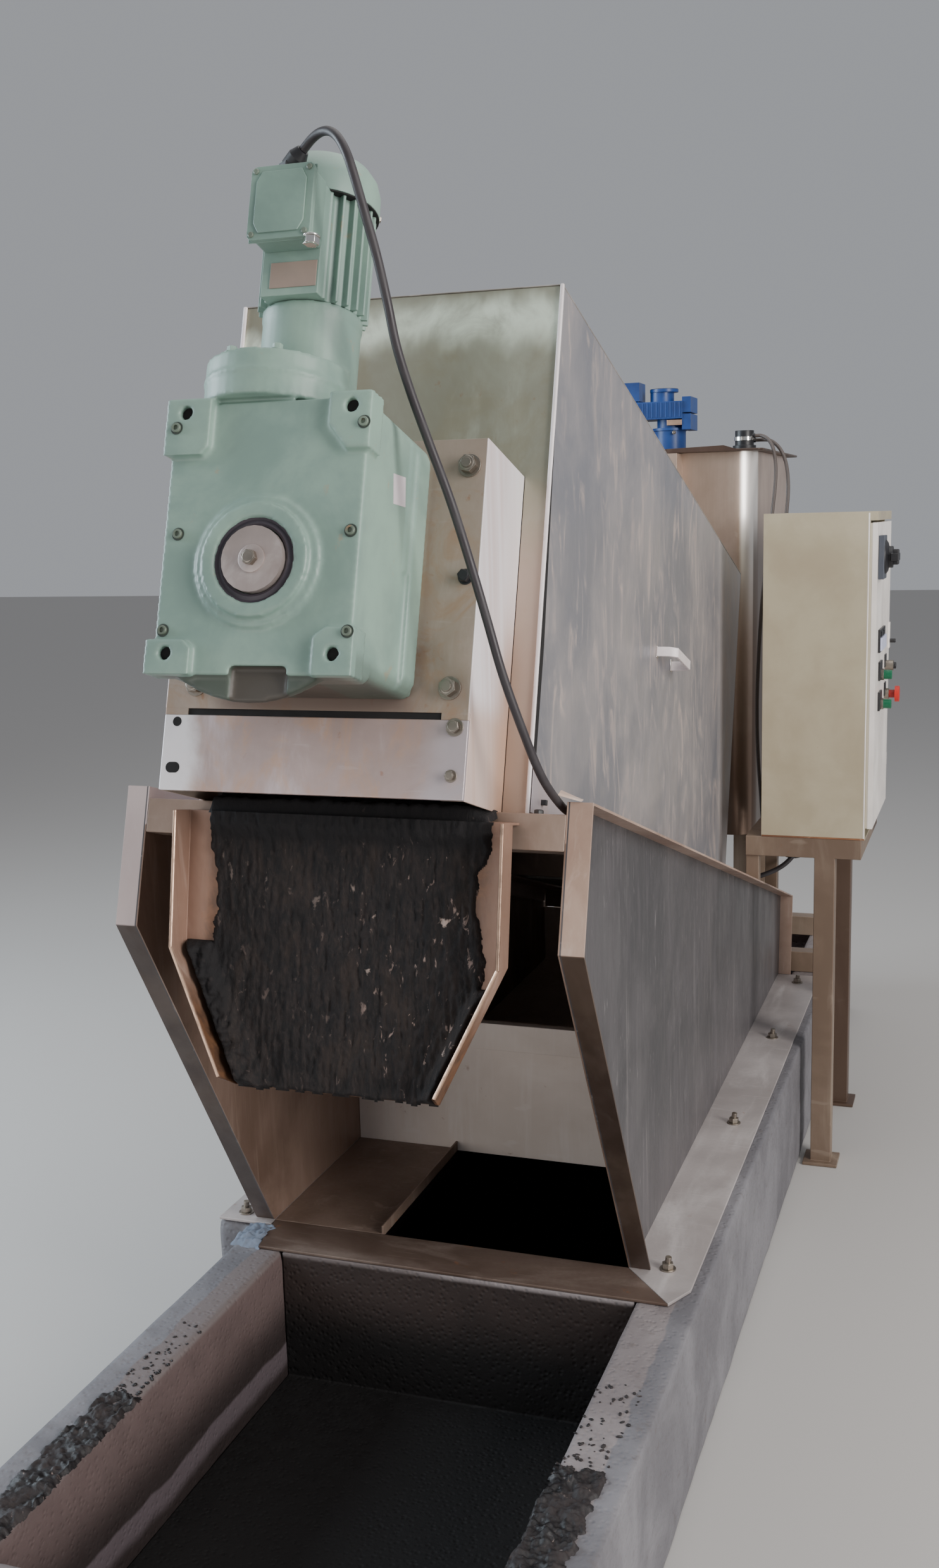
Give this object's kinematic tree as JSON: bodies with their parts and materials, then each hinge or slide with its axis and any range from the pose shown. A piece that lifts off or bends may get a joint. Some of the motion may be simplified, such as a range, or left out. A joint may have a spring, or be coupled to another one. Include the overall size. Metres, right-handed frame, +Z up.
{
  "type": "screw press",
  "caption": "Inclined screw press that dewaters sludge, with geared motor, hood, chute, concrete kerb, mixing tank and control cabinet.",
  "frame": {"origin": "middle of the bounding box at floor level", "axes": "+Z up; -Y towards the discharge end with the geared motor; +X towards the side with the control cabinet"},
  "size_m": [1.186, 3.72, 2.1853],
  "materials": {
    "concrete": null,
    "pit_concrete": "concrete darkened by wet sludge",
    "worn_stainless": "scratched and stained stainless sheet",
    "frame_steel": "stainless section with a dusty brown film",
    "inner_steel": "stainless dulled by dried filtrate",
    "chute_steel": "stainless caked with black and brown sludge",
    "housing_steel": "stainless plate with rust spots and a brown tint",
    "shaft_steel": "ground steel, dusty",
    "hood_steel": "mottled stainless sheet with a yellow-green cast",
    "handle_steel": "bright polished steel",
    "green_casting": "light green semi-gloss paint with rust bleeding at the edges",
    "black_plastic": "black moulded plastic",
    "control_plastic": "grey, green and red control buttons",
    "tank_steel": "rolled stainless sheet with warm reflections",
    "blue_paint": "blue gloss paint",
    "cabinet_paint": "beige-grey powder coat with rust along the bottom edge",
    "cable_rubber": "black cable sheath, dusty"
  },
  "bodies": {
    "press_frame": {"kerb_front": "concrete", "plinth_left": "concrete", "kerb_right": "concrete", "pit_floor": "pit_concrete", "side_plate_left": "worn_stainless", "side_plate_right": "worn_stainless", "base_flange_left": "frame_steel", "base_flange_right": "frame_steel", "base_bar_front": "frame_steel", "filtrate_tray": "inner_steel", "pit_cover": "inner_steel", "cross_member": "frame_steel", "chute": "chute_steel", "discharge_cover": "housing_steel", "screw_drum": "inner_steel", "hood_front": "hood_steel", "hood_side_left": "worn_stainless", "hood_side_right": "worn_stainless", "hood_top": "hood_steel", "hood_rear": "hood_steel", "hood_handle_left": "handle_steel", "hood_handle_right": "handle_steel", "gearbox_housing": "green_casting", "input_flange": "green_casting", "motor_body": "green_casting", "fan_cowl": "green_casting", "terminal_box": "green_casting", "cable_gland": "black_plastic", "tank_shell": "tank_steel", "tank_lid": "tank_steel", "mixer_motor": "blue_paint", "level_sensor": "black_plastic", "cabinet_box": "cabinet_paint", "cabinet_frame": "frame_steel", "gland_plate": "black_plastic", "motor_cable": "cable_rubber", "sensor_cable_front": "cable_rubber", "sensor_cable_rear": "cable_rubber", "discharge_housing": "housing_steel", "tank_trestle": "inner_steel"},
    "screw": {"press_screw": "shaft_steel"},
    "door": {"cabinet_door": "cabinet_paint", "switch_plate": "black_plastic", "control_strip": "control_plastic"},
    "switch_knob": {"main_switch": "black_plastic"}
  },
  "joints": [
    {"name": "screw_spin", "type": "hinge", "parent": "press_frame", "child": "screw", "pos_m": [-0.121, -1.0215, 1.4923], "axis": [0, 0.9577, -0.2877], "continuous": true},
    {"name": "door_hinge", "type": "hinge", "parent": "press_frame", "child": "door", "pos_m": [0.5325, 0.985, 1.2], "axis": [0, 0, 1], "range_deg": [0, 110]},
    {"name": "switch_turn", "type": "hinge", "parent": "door", "child": "switch_knob", "pos_m": [0.553, 0.605, 1.536], "axis": [1, 0, 0], "range_deg": [0, 90]}
  ]
}
